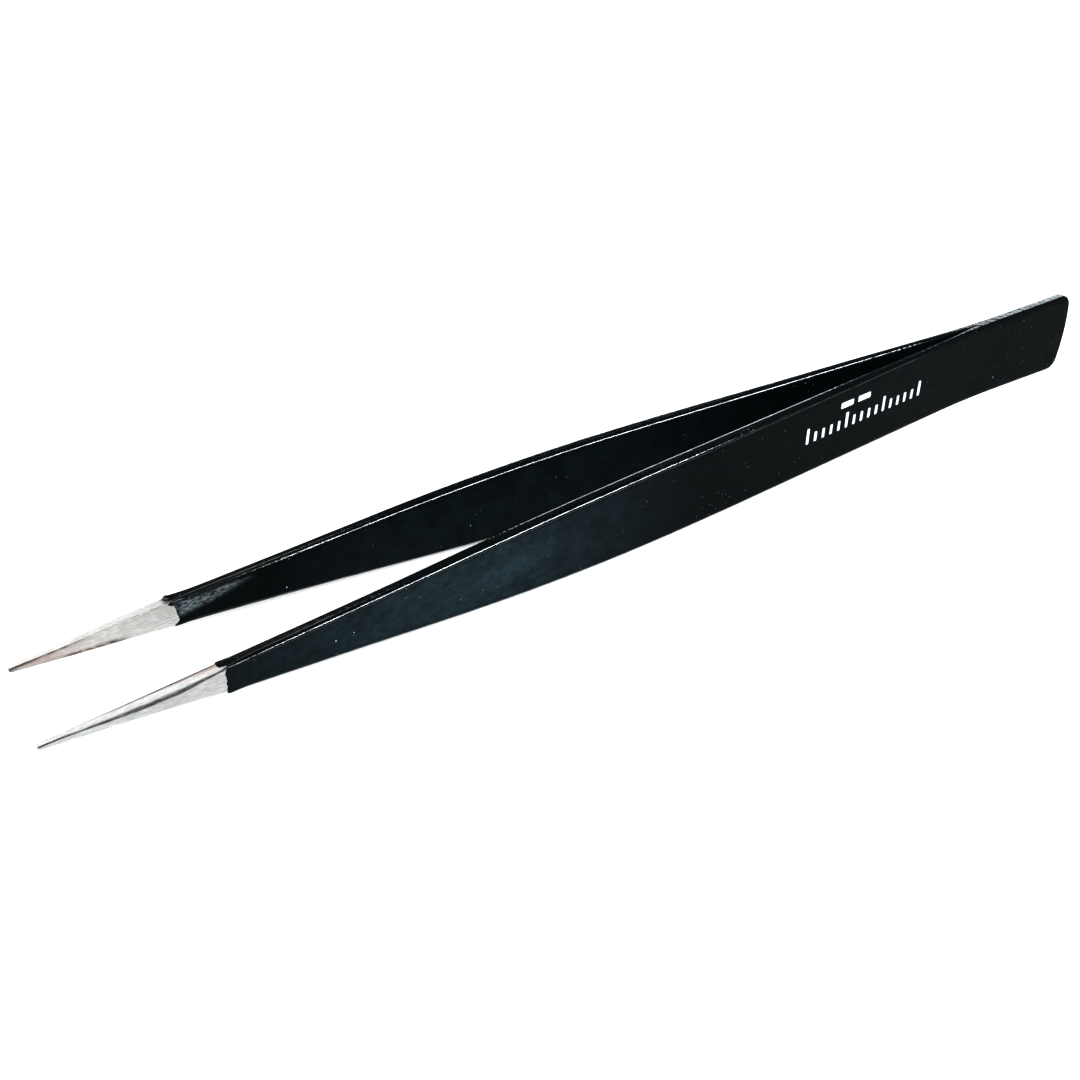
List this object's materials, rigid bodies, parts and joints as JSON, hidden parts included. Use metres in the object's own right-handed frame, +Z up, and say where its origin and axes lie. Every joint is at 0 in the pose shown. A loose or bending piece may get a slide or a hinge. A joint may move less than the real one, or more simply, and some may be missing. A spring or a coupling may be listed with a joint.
{
  "type": "aquascaping tweezers",
  "caption": "Straight spring-steel tweezers with fine bare points, a black epoxy-coated body and a welded tail.",
  "frame": {"origin": "on the rest surface, under the middle of the bounding box", "axes": "+X from the points to the welded tail, +Y from the near arm to the far arm, +Z up across the width of the arms"},
  "size_m": [0.13, 0.013, 0.0101],
  "materials": {
    "steel": "ground",
    "weld": "as welded",
    "coat": "satin epoxy",
    "print": "screen print"
  },
  "bodies": {
    "tail": {"near_arm_tail": "steel", "far_arm_tail": "steel", "weld_nuggets": "weld", "tail_coat": "coat"},
    "near_arm": {"near_arm": "steel", "near_coat": "coat", "printed_scale": "print"},
    "far_arm": {"far_arm": "steel", "far_coat": "coat"}
  },
  "joints": [
    {"name": "near_arm_flex", "type": "hinge", "parent": "tail", "child": "near_arm", "pos_m": [0.0408, -0.00041, 0.00476], "axis": [0, 0, -1], "range_deg": [0, 2.88], "stiffness_Nm_per_rad": 1.8},
    {"name": "far_arm_flex", "type": "hinge", "parent": "tail", "child": "far_arm", "pos_m": [0.0408, 0.00041, 0.00476], "axis": [0, 0, 1], "range_deg": [0, 2.88], "stiffness_Nm_per_rad": 1.8}
  ]
}
